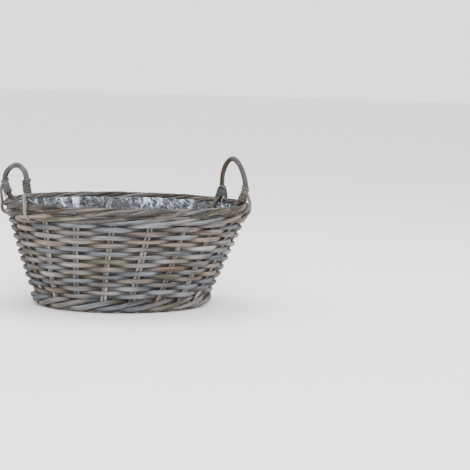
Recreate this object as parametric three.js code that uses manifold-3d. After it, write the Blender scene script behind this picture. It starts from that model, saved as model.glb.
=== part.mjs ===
// Oval willow basket with two bow handles and a clear film liner.
// Millimetres, +Z up. The origin is on the floor, under the centre of the rim.
// +X runs along the length of the basket, towards the taller handle.

import * as THREE from 'three';
import { mergeVertices } from 'three/addons/utils/BufferGeometryUtils.js';
import Module from 'manifold-3d';

const wasm = await Module();
wasm.setup();

// ---- Driving dimensions ----

// Overall form
const RIM_LENGTH = 380;        // over the border
const RIM_WIDTH = 300;         // over the border
const RIM_HEIGHT = 155;        // floor to the top of the border
const FOOT_LENGTH = 244;       // across the ring of stakes at the floor
const FOOT_WIDTH = 188;        // across the ring of stakes at the floor
const FOOT_SETBACK = 7;        // the foot's centre lies this far to -X of the rim's centre
const WALL_CURVE = 0.85;       // exponent of the wall's flare, 1 is a straight wall
const CLEARANCE = 0.3;         // between pieces that touch

// Stakes: pairs of rods that stand in the wall and bend over into the border
const STAKE_PAIRS = 20;
const STAKE_THICKNESS = 4.4;   // one rod of a pair
const STAKE_WAIST = 2.6;       // thickness where the two rods of a pair meet
const ROD_GAP = 0.2;           // between the border's outer rods and its core
const FIRST_STAKE = 9;         // degrees from +X, at the rim
const STAKE_LEAN = 6;          // degrees that the stakes' feet stand back, clockwise from above

// Randing: single weavers, each in front of one stake and behind the next
const ROW_COUNT = 19;
const ROW_GAP = 0.8;           // between one row and the next, along the wall
const ROW_THICKNESS = 3.8;
const ROW_HOLD = 6;            // a weaver lies flat this far each side of a stake
const ROW_SLACK = 0.2;         // extra room between a weaver and the stake that it passes
const BUTT_GAP = 0.4;          // half the gap between a weaver's two cut ends
const ROWS_OVER_FOOT_WALE = 1.4;
const ROWS_UNDER_RIM_WALE = 0.4;

// Wales: three strands that pass in front of two stakes and behind one. The base is the
// wale's lower edge, and the butt is half the gap where one strand's end meets the next.
// Room is what lies between a strand and a stake that it passes, in rod thicknesses, and
// rise is how much further out it lies where it crosses its neighbour.
const FOOT_WALE = { base: 5.4, height: 7.4, thickness: 5.6, room: 0.32, rise: 2, butt: 2 };
const RIM_WALE = { height: 4.4, thickness: 4, room: 0.3, rise: 1.4, butt: 0.8 };
const WALE_STRANDS = 3;
const LEVEL_GAP = 0.5;         // between the two levels of a wale

// Base: sticks crossed in two layers, held in a woven oval mat
const MAT_THICKNESS = 12;
const MAT_FOOT_REACH = 4;      // the mat's foot stands this far outside the stakes
const LONG_STICKS = 2;
const LONG_STICK_SPACING = 15;
const CROSS_STICKS = 5;
const CROSS_STICK_SPACING = 26;
const STICK_WIDTH = 8;
const STICK_THICKNESS = 4.2;
const STICK_BED = 2.5;         // height of the long sticks' underside
const STICK_END_COVER = 4;     // of the mat past the ends of the sticks

// Liner: one sheet of clear film, shown as an open cup
const FILM_THICKNESS = 0.5;
const FILM_BELOW_RIM = 10;     // from the top of the border down to the film's edge
const FILM_ROOM = 0.6;         // between the film and the willow
const FILM_CORNER = 3.5;       // height of the bevel round the film's bottom

// Handles: one bent rod each, bound to the rim at both feet
const HANDLE_THICKNESS = 8;
const LEG_DEPTH = 37;          // of a leg's lower end, below the top of the border
const LEG_ROOM = 1;            // between a leg and the film
const BINDING_THICKNESS = 3.6; // of the wound strand
const TIE_DEPTH = 19;          // the binding's tail ends this far below the top of the border
// halfSpan: from the basket's middle plane to a leg at the rim. footLift, headLift: of a
// binding's ends, above the border. footOut, headOut: of the leg there, out from the ring of
// stakes. lean: of the bow, inwards.
const HANDLES = [
  {
    name: 'left', side: -1, halfSpan: 39, rise: 50.7, roundness: 1.8, lean: 2.5,
    footLift: 0.63 * HANDLE_THICKNESS, footOut: -0.45 * HANDLE_THICKNESS,
    headLift: 31.5, headOut: 5.5, turns: 7,
  },
  {
    name: 'right', side: 1, halfSpan: 37, rise: 62.8, roundness: 1.6, lean: 3,
    footLift: 0.38 * HANDLE_THICKNESS, footOut: -0.7 * HANDLE_THICKNESS,
    headLift: 24, headOut: 0.8, turns: 5,
  },
];

// ---- Sizes worked out from these ----

const SPACING = 360 / STAKE_PAIRS;
const BORDER_REACH = STAKE_THICKNESS + ROD_GAP;   // centre of the border's outer rods
const BORDER_OUTSIDE = BORDER_REACH + STAKE_THICKNESS / 2;
const BORDER_RISE = 1.73 * STAKE_THICKNESS;       // from the outer rods up to the border's top
const BORDER_DROP = 1.25 * STAKE_THICKNESS;       // from the outer rods down to the rim wale
const CORE_HEIGHT = RIM_HEIGHT - BORDER_RISE;     // level of the border's outer rods
const RIM_WALE_TOP = CORE_HEIGHT - BORDER_DROP;
const FILM_TOP = RIM_HEIGHT - FILM_BELOW_RIM;

// ---- Materials ----

function willow(color, roughness = 0.85) {
  return new THREE.MeshStandardMaterial({ color, roughness, metalness: 0 });
}

const WEAVER_COLOURS = [0x9c9289, 0x8d8f93, 0xa39a88, 0x9a8c86];
const STAKE_WILLOW = willow(0x8f867c);
const WALE_WILLOW = willow(0x94918f);
const BASE_WILLOW = willow(0x857c70);
const HANDLE_WILLOW = willow(0x807a75, 0.8);
const BINDING_WILLOW = willow(0x77706b);
const CLEAR_FILM = new THREE.MeshStandardMaterial({
  color: 0xd4dde4, roughness: 0.15, metalness: 0, transparent: true, opacity: 0.35,
});

// ---- The wall: an oval that flares from the foot to the rim ----

function radians(degrees) {
  return degrees * Math.PI / 180;
}

function oval(z) {
  const level = Math.min(Math.max(z, 0), CORE_HEIGHT) / CORE_HEIGHT;
  const flare = Math.pow(level, WALL_CURVE);
  return {
    a: THREE.MathUtils.lerp(FOOT_LENGTH / 2, RIM_LENGTH / 2 - BORDER_OUTSIDE, flare),
    b: THREE.MathUtils.lerp(FOOT_WIDTH / 2, RIM_WIDTH / 2 - BORDER_OUTSIDE, flare),
    shift: -FOOT_SETBACK * (1 - level),
  };
}

// How far the long end of the wall flares out for each millimetre of height
function wallSlope(z) {
  const step = 0.5;
  return (oval(z + step).a - oval(z - step).a) / (2 * step);
}

// The level distance that keeps a given distance square to the wall
function levelInset(z, square) {
  return square * Math.hypot(1, wallSlope(z));
}

// A point on the ring of stakes at angle t (radians) and height z
function ringPoint(t, z) {
  const { a, b, shift } = oval(z);
  return new THREE.Vector3(shift + a * Math.cos(t), b * Math.sin(t), z);
}

// Length of the ring per radian at angle t
function ringSpeed(t, z) {
  const { a, b } = oval(z);
  return Math.hypot(a * Math.sin(t), b * Math.cos(t));
}

function levelNormal(t, z) {
  const { a, b } = oval(z);
  return new THREE.Vector3(b * Math.cos(t), a * Math.sin(t), 0).normalize();
}

// Square to the sloping wall, pointing out of the basket
function wallNormal(t, z) {
  const step = 0.5;
  const up = ringPoint(t, z + step).sub(ringPoint(t, z - step));
  const along = new THREE.Vector3(0, 0, 1).cross(levelNormal(t, z));
  return along.cross(up).normalize();
}

function onWall(t, z, out) {
  const normal = wallNormal(t, z);
  return { point: ringPoint(t, z).addScaledVector(normal, out), out: normal };
}

// Placed out from the ring of stakes at the rim, at any height
function besideRim(t, z, out) {
  const normal = levelNormal(t, CORE_HEIGHT);
  const point = ringPoint(t, CORE_HEIGHT).addScaledVector(normal, out);
  return { point: point.setZ(z), out: normal };
}

// Angle of stake k at height z: the stakes lean, and stand true at the rim
function stakeAngle(k, z) {
  const lean = STAKE_LEAN * (1 - Math.min(z, CORE_HEIGHT) / CORE_HEIGHT);
  return radians(FIRST_STAKE + SPACING * k - lean);
}

// ---- Strands ----

// A path through given stations, with each section's thickness turned to face out
class Spine extends THREE.Curve {
  constructor(stations) {
    super();
    this.stations = stations;
  }

  getPoint(u, target = new THREE.Vector3()) {
    const last = this.stations.length - 1;
    return target.copy(this.stations[Math.round(u * last)].point);
  }

  getPointAt(u, target) {
    return this.getPoint(u, target);
  }

  computeFrenetFrames() {
    const last = this.stations.length - 1;
    const frames = { tangents: [], normals: [], binormals: [] };
    this.stations.forEach(({ out }, i) => {
      const before = this.stations[Math.max(i - 1, 0)].point;
      const after = this.stations[Math.min(i + 1, last)].point;
      const tangent = after.clone().sub(before).normalize();
      const binormal = tangent.clone().cross(out).normalize();
      frames.tangents.push(tangent);
      frames.normals.push(binormal.clone().cross(tangent));
      frames.binormals.push(binormal);
    });
    return frames;
  }
}

function strandGeometry(stations, section) {
  const settings = { steps: stations.length - 1, extrudePath: new Spine(stations) };
  return new THREE.ExtrudeGeometry(new THREE.Shape(section), settings);
}

// A regular section; its first axis is the thickness, its second the height
function roundSection(thickness, height, sides) {
  const corners = [];
  for (let i = 0; i < sides; i += 1) {
    const turn = 2 * Math.PI * (i + 0.5) / sides;
    corners.push(new THREE.Vector2(thickness / 2 * Math.cos(turn), height / 2 * Math.sin(turn)));
  }
  return corners;
}

function stripSection(thickness, height) {
  const x = thickness / 2;
  const y = height / 2;
  return [[x, -y], [x, y], [-x, y], [-x, -y]].map(([u, v]) => new THREE.Vector2(u, v));
}

// Two round rods side by side, seen end on
function pairSection() {
  const full = STAKE_THICKNESS / 2;
  const waist = STAKE_WAIST / 2;
  return [
    [0, -2 * full], [full, -full], [waist, 0], [full, full],
    [0, 2 * full], [-full, full], [-waist, 0], [-full, -full],
  ].map(([u, v]) => new THREE.Vector2(u, v));
}

function pieceOf(name, geometry, material) {
  const mesh = new THREE.Mesh(geometry, material);
  mesh.name = name;
  return mesh;
}

function numbered(name, index) {
  return `${name}_${String(index + 1).padStart(2, '0')}`;
}

// ---- Solids joined and cut ----

function solidOf(geometry) {
  const bare = geometry.clone();
  bare.deleteAttribute('normal');
  bare.deleteAttribute('uv');
  const welded = mergeVertices(bare, 1e-4);
  return new wasm.Manifold(new wasm.Mesh({
    numProp: 3,
    vertProperties: Float32Array.from(welded.attributes.position.array),
    triVerts: Uint32Array.from(welded.index.array),
  }));
}

function geometryOf(solid) {
  const { vertProperties, triVerts } = solid.getMesh();
  const geometry = new THREE.BufferGeometry();
  geometry.setAttribute('position', new THREE.BufferAttribute(vertProperties, 3));
  geometry.setIndex(new THREE.BufferAttribute(triVerts, 1));
  geometry.computeVertexNormals();
  return geometry;
}

// A lathe turned to an oval. Each profile corner is [share, inset, z]: at share 1 it lies
// the inset inside the ring of stakes, and at share 0 it lies on the axis.
function ovalLathe(profile, segments) {
  const outline = profile.map(([share, , z]) => new THREE.Vector2(share, z));
  const geometry = new THREE.LatheGeometry(outline, segments);
  const corners = geometry.attributes.position;
  for (let i = 0; i <= segments; i += 1) {
    const t = 2 * Math.PI * i / segments;
    profile.forEach(([share, inset, z], j) => {
      const { a, b, shift } = oval(z);
      const x = shift + share * (a - inset) * Math.cos(t);
      const y = share * (b - inset) * Math.sin(t);
      corners.setXYZ(i * profile.length + j, x, y, z);
    });
  }
  return geometry;
}

// ---- Stake pairs ----

// Where a pair leaves the wall's line, in rod thicknesses out from it and under the outer rods
const NECK = { out: 0.18, drop: 1.16 };

// Each corner of a border stroke: share of the way to the next stake, then in rod
// thicknesses the distance past that, out from the ring of stakes, and over the outer rods
const BORDER_STROKE = [
  [0, 0.7, 0.42, -0.36],
  [0, 2.3, 0.92, -0.09],
  [0.5, 0, BORDER_REACH / STAKE_THICKNESS, 0],
  [1, -3.4, 0.34, 0.36],
  [1, -1.48, -0.77, 0.66],
  [1, 1.36, -0.77, 0.7],
  [1.5, 0, -1, 0.41],
  [1.62, 0, -1.1, 0.23],
];

function between(low, high, share) {
  return low + (high - low) * share;
}

// Lifted so that its cut foot clears the mat, however the wall leans
function stakeFoot() {
  const lean = radians(STAKE_LEAN) * oval(0).a / CORE_HEIGHT;
  const dip = STAKE_THICKNESS * (wallSlope(matStep()) / 2 + lean);
  return matStep() + dip + CLEARANCE;
}

function stakePair(k) {
  const foot = stakeFoot();
  const { bottom, top } = rowZone();
  const levels = [foot, between(foot, bottom, 0.5), bottom, between(bottom, top, 1 / 3),
    between(bottom, top, 2 / 3), top, RIM_WALE_TOP - STAKE_THICKNESS];
  const standing = levels.map((z) => onWall(stakeAngle(k, z), z, 0));
  const neck = CORE_HEIGHT - NECK.drop * STAKE_THICKNESS;
  standing.push(onWall(stakeAngle(k, neck), neck, NECK.out * STAKE_THICKNESS));
  const stroke = BORDER_STROKE.map(([share, past, out, rise]) => {
    const z = CORE_HEIGHT + rise * STAKE_THICKNESS;
    const t = stakeAngle(k + share, z);
    const turn = past * STAKE_THICKNESS / ringSpeed(t, CORE_HEIGHT);
    return besideRim(t + turn, z, out * STAKE_THICKNESS);
  });
  const geometry = strandGeometry([...standing, ...stroke], pairSection());
  return pieceOf(numbered('stake_pair', k), geometry, STAKE_WILLOW);
}

// ---- Randing rows ----

// The height between the two wales
function rowZone() {
  const bottom = FOOT_WALE.base + waleDepth(FOOT_WALE) + ROWS_OVER_FOOT_WALE;
  const top = RIM_WALE_TOP - waleDepth(RIM_WALE) - ROWS_UNDER_RIM_WALE;
  return { bottom, top, pitch: (top - bottom) / ROW_COUNT };
}

function weaverRow(row) {
  const { bottom, pitch } = rowZone();
  const z = bottom + pitch * (row + 0.5);
  const pass = (STAKE_THICKNESS + ROW_THICKNESS) / 2 + CLEARANCE + ROW_SLACK;
  const inside = (k) => (k + row) % 2 !== 0;
  const first = 2 * ((row * 3) % (STAKE_PAIRS / 2)) + (inside(0) ? 0 : 1);
  const last = first + STAKE_PAIRS;
  const stations = [];
  for (let k = first; k <= last; k += 1) {
    const t = stakeAngle(k, z);
    const hold = ROW_HOLD / ringSpeed(t, z);
    const butt = BUTT_GAP / ringSpeed(t, z);
    const out = inside(k) ? -pass : pass;
    stations.push(onWall(k === first ? t + butt : t - hold, z, out));
    stations.push(onWall(k === last ? t - butt : t + hold, z, out));
  }
  const height = pitch - ROW_GAP / 2;
  const geometry = strandGeometry(stations, stripSection(ROW_THICKNESS, height));
  const colour = WEAVER_COLOURS[row % WEAVER_COLOURS.length];
  return pieceOf(numbered('weaver_row', row), geometry, willow(colour));
}

// ---- Three-rod wales ----

// One strand's course over three stakes, by half stakes: its place out from the stakes
// (-1 behind, 1 in front, 2 crossing in front of its neighbour) and its level (-1 low, 1 high)
const WALE_COURSE = [[-1, 0], [0, -1], [1, -1], [2, 0], [1, 1], [0, 1]];

function waleDepth(wale) {
  return 2 * wale.height + LEVEL_GAP;
}

// Distance from the ring of stakes to a wale strand that passes in front or behind
function walePass(wale) {
  return (STAKE_THICKNESS + wale.thickness) / 2 + wale.room * STAKE_THICKNESS;
}

// How far a wale reaches inside the ring of stakes
function waleInside(wale) {
  return walePass(wale) + wale.thickness / 2;
}

function waleStrand(name, wale, base, index) {
  const middle = base + waleDepth(wale) / 2;
  const halfLift = (wale.height + LEVEL_GAP) / 2;
  const first = 2 * index;
  const last = 2 * [STAKE_PAIRS + 1, STAKE_PAIRS + 2, STAKE_PAIRS][index];
  const stations = [];
  for (let half = first; half <= last; half += 1) {
    const [place, level] = WALE_COURSE[(half - first) % WALE_COURSE.length];
    const out = place === 2 ? walePass(wale) + wale.rise : place * walePass(wale);
    const z = middle + level * halfLift;
    const t = stakeAngle(half / 2, z);
    const end = Number(half === first) - Number(half === last);
    stations.push(onWall(t + end * wale.butt / ringSpeed(t, z), z, out));
  }
  const section = roundSection(wale.thickness, wale.height, 6);
  return pieceOf(numbered(name, index), strandGeometry(stations, section), WALE_WILLOW);
}

// ---- Base ----

function stickGeometry(length, width, thickness) {
  const outline = roundSection(thickness / Math.cos(Math.PI / 8), width / Math.cos(Math.PI / 8), 8);
  const stations = [-length / 2, length / 2].map((x) => ({
    point: new THREE.Vector3(x, 0, 0),
    out: new THREE.Vector3(0, 0, 1),
  }));
  return strandGeometry(stations, outline);
}

// The mat's foot is as thick as the room that the foot wale leaves under its leaning strands
function matStep() {
  const slope = wallSlope(FOOT_WALE.base);
  return FOOT_WALE.base - FOOT_WALE.thickness / 2 * slope / Math.hypot(1, slope) - CLEARANCE;
}

// The mat's edge over its foot, inside the foot wale
function matInset(z) {
  return levelInset(z, waleInside(FOOT_WALE) + 2 * CLEARANCE);
}

function sticks() {
  const { a, b, shift } = oval(matStep());
  const cover = matInset(matStep());
  const reach = (long, wide, off) => {
    const chord = (long - cover) * Math.sqrt(1 - (off / (wide - cover)) ** 2);
    return 2 * (chord - STICK_END_COVER);
  };
  const set = [];
  for (let i = 0; i < LONG_STICKS; i += 1) {
    const y = (i - (LONG_STICKS - 1) / 2) * LONG_STICK_SPACING;
    const place = { x: shift, y, z: STICK_BED + STICK_THICKNESS / 2, turn: 0 };
    set.push({ name: numbered('base_long_stick', i), length: reach(a, b, y), ...place });
  }
  for (let i = 0; i < CROSS_STICKS; i += 1) {
    const x = (i - (CROSS_STICKS - 1) / 2) * CROSS_STICK_SPACING;
    const z = STICK_BED + 1.5 * STICK_THICKNESS + CLEARANCE;
    const place = { x: shift + x, y: 0, z, turn: Math.PI / 2 };
    set.push({ name: numbered('base_cross_stick', i), length: reach(b, a, x), ...place });
  }
  return set;
}

function stickMesh({ name, length, x, y, z, turn }) {
  const geometry = stickGeometry(length, STICK_WIDTH, STICK_THICKNESS);
  const mesh = pieceOf(name, geometry, BASE_WILLOW);
  mesh.position.set(x, y, z);
  mesh.rotation.z = turn;
  return mesh;
}

// The room that a stick needs in the mat: a channel open at the top
function stickChannel({ length, x, y, z, turn }) {
  const bottom = z - STICK_THICKNESS / 2 - CLEARANCE;
  const height = MAT_THICKNESS + 1 - bottom;
  const channel = new THREE.BoxGeometry(
    length + 2 * CLEARANCE, STICK_WIDTH + 2 * CLEARANCE, height);
  channel.rotateZ(turn);
  channel.translate(x, y, bottom + height / 2);
  return solidOf(channel);
}

function baseMat() {
  const step = matStep();
  const profile = [
    [0, 0, 0], [1, 3 - MAT_FOOT_REACH, 0], [1, -MAT_FOOT_REACH, step / 2],
    [1, -MAT_FOOT_REACH, step], [1, matInset(step), step],
    [1, matInset(MAT_THICKNESS), MAT_THICKNESS], [0, 0, MAT_THICKNESS],
  ];
  const solid = solidOf(ovalLathe(profile, 40));
  const cut = sticks().reduce((rest, stick) => rest.subtract(stickChannel(stick)), solid);
  return pieceOf('base_mat', geometryOf(cut), BASE_WILLOW);
}

// ---- Liner ----

// Distance square to the wall from the ring of stakes to the film, over the foot wale
function filmInset() {
  return waleInside(RIM_WALE) + FILM_ROOM;
}

function filmLiner() {
  const low = MAT_THICKNESS + CLEARANCE;
  const { bottom, top } = rowZone();
  const foot = waleInside(FOOT_WALE) + FILM_ROOM;
  const levels = [bottom + FILM_CORNER, between(bottom, top, 1 / 3),
    between(bottom, top, 2 / 3), FILM_TOP];
  const outer = [
    [0, 0, low], [1, levelInset(low, foot + FILM_CORNER), low],
    [1, levelInset(low, foot), low + FILM_CORNER], [1, levelInset(bottom, foot), bottom],
    ...levels.map((z) => [1, levelInset(z, filmInset()), z]),
  ];
  const inner = outer.map(([share, inset, z]) => {
    const lift = z === low ? FILM_THICKNESS : 0;
    return [share, inset + share * FILM_THICKNESS, z + lift];
  });
  const geometry = ovalLathe([...outer, ...inner.reverse()], 40);
  return pieceOf('film_liner', geometry, CLEAR_FILM);
}

// ---- Handles ----

// Angle of a leg round the rim; end is 1 for the leg at +Y and -1 for the leg at -Y
function legAngle({ side, halfSpan }, end) {
  const rise = Math.asin(halfSpan / oval(CORE_HEIGHT).b);
  return side > 0 ? end * rise : Math.PI - end * rise;
}

function legStations(handle, end) {
  const t = legAngle(handle, end);
  const inside = -(filmInset() + FILM_THICKNESS + HANDLE_THICKNESS / 2 + LEG_ROOM);
  const low = RIM_HEIGHT - LEG_DEPTH;
  const wall = [low, between(low, FILM_TOP, 0.5), FILM_TOP].map((z) => onWall(t, z, inside));
  const over = [
    [between(FILM_TOP, RIM_HEIGHT, 0.5), between(inside, handle.footOut, 0.15)],
    [RIM_HEIGHT, between(inside, handle.footOut, 0.4)],
    [RIM_HEIGHT + handle.footLift, handle.footOut],
    [RIM_HEIGHT + handle.headLift, handle.headOut],
  ].map(([z, out]) => besideRim(t, z, out));
  return [...wall, ...over];
}

function handleRod(handle) {
  const { name, side, rise, roundness, lean, headLift } = handle;
  const firstLeg = legStations(handle, -1);
  const lastLeg = legStations(handle, 1);
  const foot = firstLeg[firstLeg.length - 1].point;
  const steps = 12;
  const arch = [];
  for (let i = 1; i < steps; i += 1) {
    const turn = Math.PI * i / steps;
    const reach = Math.sign(Math.cos(turn)) * Math.abs(Math.cos(turn)) ** (2 / roundness);
    const climb = Math.sin(turn) ** (2 / roundness);
    const x = foot.x - side * lean * climb;
    const z = RIM_HEIGHT + between(headLift, rise, climb);
    const point = new THREE.Vector3(x, foot.y * reach, z);
    arch.push({ point, out: new THREE.Vector3(side, 0, 0) });
  }
  const stations = [...firstLeg, ...arch, ...lastLeg.reverse()];
  const section = roundSection(HANDLE_THICKNESS, HANDLE_THICKNESS, 8);
  return pieceOf(`handle_${name}`, strandGeometry(stations, section), HANDLE_WILLOW);
}

// The wound turns of a binding, as rings round its axis
function windingGeometry(length, turns) {
  const bore = HANDLE_THICKNESS / 2 + CLEARANCE;
  const crest = bore + BINDING_THICKNESS;
  const valley = bore + 0.75 * BINDING_THICKNESS;
  const pitch = length / turns;
  const profile = [new THREE.Vector2(bore, 0)];
  for (let i = 0; i < turns; i += 1) {
    profile.push(new THREE.Vector2(valley, i * pitch));
    profile.push(new THREE.Vector2(crest, (i + 0.5) * pitch));
  }
  profile.push(new THREE.Vector2(valley, length));
  profile.push(new THREE.Vector2(bore, length));
  profile.push(new THREE.Vector2(bore, 0));
  return new THREE.LatheGeometry(profile, 12);
}

// The tail that runs from the winding down the outside of the rim
function tieGeometry(t, { footLift, footOut }) {
  const outside = BORDER_OUTSIDE + 2 * CLEARANCE + BINDING_THICKNESS / 2;
  const start = footOut + HANDLE_THICKNESS / 2 + 0.7 * BINDING_THICKNESS;
  const course = [
    [RIM_HEIGHT + footLift + 0.4, start],
    [RIM_HEIGHT + 0.75 * footLift, between(start, outside, 0.5)],
    [RIM_HEIGHT + 0.25 * footLift, outside - 0.9],
    [RIM_HEIGHT - BORDER_RISE / 2, outside],
    [RIM_WALE_TOP, outside],
    [RIM_HEIGHT - TIE_DEPTH, outside - 1],
  ];
  const stations = course.map(([z, out]) => besideRim(t, z, out));
  return strandGeometry(stations, roundSection(BINDING_THICKNESS, BINDING_THICKNESS, 6));
}

function binding(handle, end) {
  const t = legAngle(handle, end);
  const foot = besideRim(t, RIM_HEIGHT + handle.footLift, handle.footOut).point;
  const head = besideRim(t, RIM_HEIGHT + handle.headLift, handle.headOut).point;
  const axis = head.clone().sub(foot);
  const winding = windingGeometry(axis.length() - 1, handle.turns);
  const turn = new THREE.Quaternion().setFromUnitVectors(
    new THREE.Vector3(0, 1, 0), axis.normalize());
  winding.applyQuaternion(turn);
  winding.translate(...foot.addScaledVector(axis, 0.5).toArray());
  const solid = solidOf(winding).add(solidOf(tieGeometry(t, handle)));
  const where = end > 0 ? 'rear' : 'front';
  return pieceOf(`binding_${handle.name}_${where}`, geometryOf(solid), BINDING_WILLOW);
}

// ---- Assembly ----

function eachOf(count, make) {
  return Array.from({ length: count }, (_, i) => make(i));
}

const rimWaleBase = RIM_WALE_TOP - waleDepth(RIM_WALE);

const basket = new THREE.Group();
basket.add(...eachOf(STAKE_PAIRS, stakePair));
basket.add(...eachOf(ROW_COUNT, weaverRow));
basket.add(...eachOf(WALE_STRANDS, (i) => waleStrand('foot_wale', FOOT_WALE, FOOT_WALE.base, i)));
basket.add(...eachOf(WALE_STRANDS, (i) => waleStrand('rim_wale', RIM_WALE, rimWaleBase, i)));
basket.add(...sticks().map(stickMesh));
basket.add(baseMat());
basket.add(filmLiner());
HANDLES.forEach((handle) => {
  basket.add(handleRod(handle), binding(handle, -1), binding(handle, 1));
});

export default basket;
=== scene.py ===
"""Oval willow basket with two bow handles and a clear film liner.

Laid out as an add-on: sizes and colours are properties, each kind of piece has its operator,
and a panel in the 3D view's sidebar lists them. Lengths are in metres unless a name says
otherwise, +Z is up, and the basket stands on the floor with its long side along X.
"""

import math

import bpy
import numpy as np
from mathutils import Matrix, Vector, noise


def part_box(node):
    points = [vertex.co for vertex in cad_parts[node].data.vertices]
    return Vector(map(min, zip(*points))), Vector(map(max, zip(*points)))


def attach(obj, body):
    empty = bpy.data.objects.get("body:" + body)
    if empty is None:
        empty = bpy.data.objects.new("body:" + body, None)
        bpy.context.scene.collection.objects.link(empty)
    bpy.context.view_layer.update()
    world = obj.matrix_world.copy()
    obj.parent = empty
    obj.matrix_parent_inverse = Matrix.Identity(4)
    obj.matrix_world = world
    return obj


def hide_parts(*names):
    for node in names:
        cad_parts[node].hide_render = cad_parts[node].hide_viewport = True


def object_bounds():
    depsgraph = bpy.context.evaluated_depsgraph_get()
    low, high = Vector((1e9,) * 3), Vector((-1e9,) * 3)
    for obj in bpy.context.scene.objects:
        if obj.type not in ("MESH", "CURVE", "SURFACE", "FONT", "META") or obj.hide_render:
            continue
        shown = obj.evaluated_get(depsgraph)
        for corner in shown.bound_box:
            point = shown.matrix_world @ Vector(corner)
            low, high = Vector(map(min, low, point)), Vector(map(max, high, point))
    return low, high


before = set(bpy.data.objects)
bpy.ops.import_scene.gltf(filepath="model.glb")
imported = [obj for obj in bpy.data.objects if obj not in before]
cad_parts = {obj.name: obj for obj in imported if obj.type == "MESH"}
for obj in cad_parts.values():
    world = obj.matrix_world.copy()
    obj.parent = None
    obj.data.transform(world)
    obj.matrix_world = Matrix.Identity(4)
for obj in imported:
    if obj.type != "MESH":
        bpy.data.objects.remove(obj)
CAD_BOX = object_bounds()

bl_info = {
    "name": "Willow Basket",
    "version": (1, 0, 0),
    "blender": (4, 5, 0),
    "location": "View3D > Sidebar > Basket",
    "description": "Weaves an oval willow basket with bow handles and a clear film liner",
    "category": "Object",
}

MM = 0.001
RIM = {
    "length": CAD_BOX[1].x - CAD_BOX[0].x,
    "width": CAD_BOX[1].y - CAD_BOX[0].y,
    "height": max(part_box(node)[1].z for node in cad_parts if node.startswith("stake")),
}
STAKE_PAIRS = sum(node.startswith("stake_pair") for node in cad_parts)
ROW_COUNT = sum(node.startswith("weaver_row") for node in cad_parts)
WALE_RODS = 3


# ---- Sizes and colours ----

def length_of(name, description, default):
    return bpy.props.FloatProperty(
        name=name, description=description, default=default, unit="LENGTH", subtype="DISTANCE")


def angle_of(name, description, degrees):
    return bpy.props.FloatProperty(
        name=name, description=description, default=math.radians(degrees), unit="ROTATION",
        subtype="ANGLE")


def colour_of(name, description, default):
    return bpy.props.FloatVectorProperty(
        name=name, description=description, default=default, subtype="COLOR", size=3,
        min=0.0, max=1.0)


class BasketWall(bpy.types.PropertyGroup):
    rim_length: length_of("Rim length", "Over the border", RIM["length"])
    rim_width: length_of("Rim width", "Over the border", RIM["width"])
    rim_height: length_of("Rim height", "Floor to the top of the border", RIM["height"])
    foot_length: length_of("Foot length", "Across the stakes at the floor", 244 * MM)
    foot_width: length_of("Foot width", "Across the stakes at the floor", 188 * MM)
    foot_setback: length_of("Foot setback", "The foot's centre, to -X of the rim's", 7 * MM)
    flare: bpy.props.FloatProperty(
        name="Flare", description="Exponent of the wall's flare, 1 is straight", default=0.85)
    stake_lean: angle_of("Stake lean", "How far the stakes' feet stand back", 6)
    first_stake: angle_of("First stake", "Its angle from +X at the rim", 9)


class BasketRods(bpy.types.PropertyGroup):
    stake: length_of("Stake", "Thickness of one rod of a pair", 4.3 * MM)
    border_reach: length_of("Border reach", "Core of the border to its rods", 4.7 * MM)
    weaver: length_of("Weaver", "Thickness of a weaver, out of the wall", 4.8 * MM)
    weaver_height: length_of("Weaver height", "Where it passes a stake", 7.5 * MM)
    weaver_waist: length_of("Weaver waist", "Height where two weavers cross", 6.9 * MM)
    rows_bottom: length_of("Rows' bottom", "Lower edge of the lowest row", 22.1 * MM)
    rows_top: length_of("Rows' top", "Upper edge of the highest row", 132.9 * MM)
    handle: length_of("Handle", "Thickness of a bow handle's rod", 8.0 * MM)
    binding: length_of("Binding", "Thickness of the strand that binds a handle", 2.3 * MM)


class BasketColours(bpy.types.PropertyGroup):
    ash: colour_of("Ash", "Weathered warm grey", (0.108, 0.098, 0.089))
    slate: colour_of("Slate", "Bluish grey", (0.093, 0.100, 0.110))
    pale: colour_of("Pale", "Bleached grey", (0.195, 0.184, 0.171))
    tan: colour_of("Tan", "Washed tan", (0.140, 0.111, 0.087))
    rose: colour_of("Rose", "Pinkish brown", (0.109, 0.082, 0.072))
    olive: colour_of("Olive", "Greenish bark", (0.091, 0.086, 0.061))
    rust: colour_of("Rust", "Orange-brown bark", (0.102, 0.062, 0.044))
    bark: colour_of("Bark", "Dark bark", (0.037, 0.031, 0.027))
    film: colour_of("Film", "Clear film, faintly blue", (0.62, 0.76, 0.95))
    floor: colour_of("Floor", "Pale studio floor", (0.86, 0.86, 0.86))


class BasketView(bpy.types.PropertyGroup):
    turn: angle_of("Turn", "Of the view round the basket", 25.49)
    distance: length_of("Distance", "Camera to the middle of the foot, along the floor", 2.4302)
    height: length_of("Height", "Of the camera over the floor", 0.3634)
    pan: angle_of("Pan", "To the right of the foot's middle", 3.91)
    tilt: angle_of("Tilt", "Below level", 5.98)
    roll: angle_of("Roll", "Of the camera about its view", 2.39)
    lens: bpy.props.FloatProperty(
        name="Lens", description="Focal length in millimetres", default=125.24)


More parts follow.
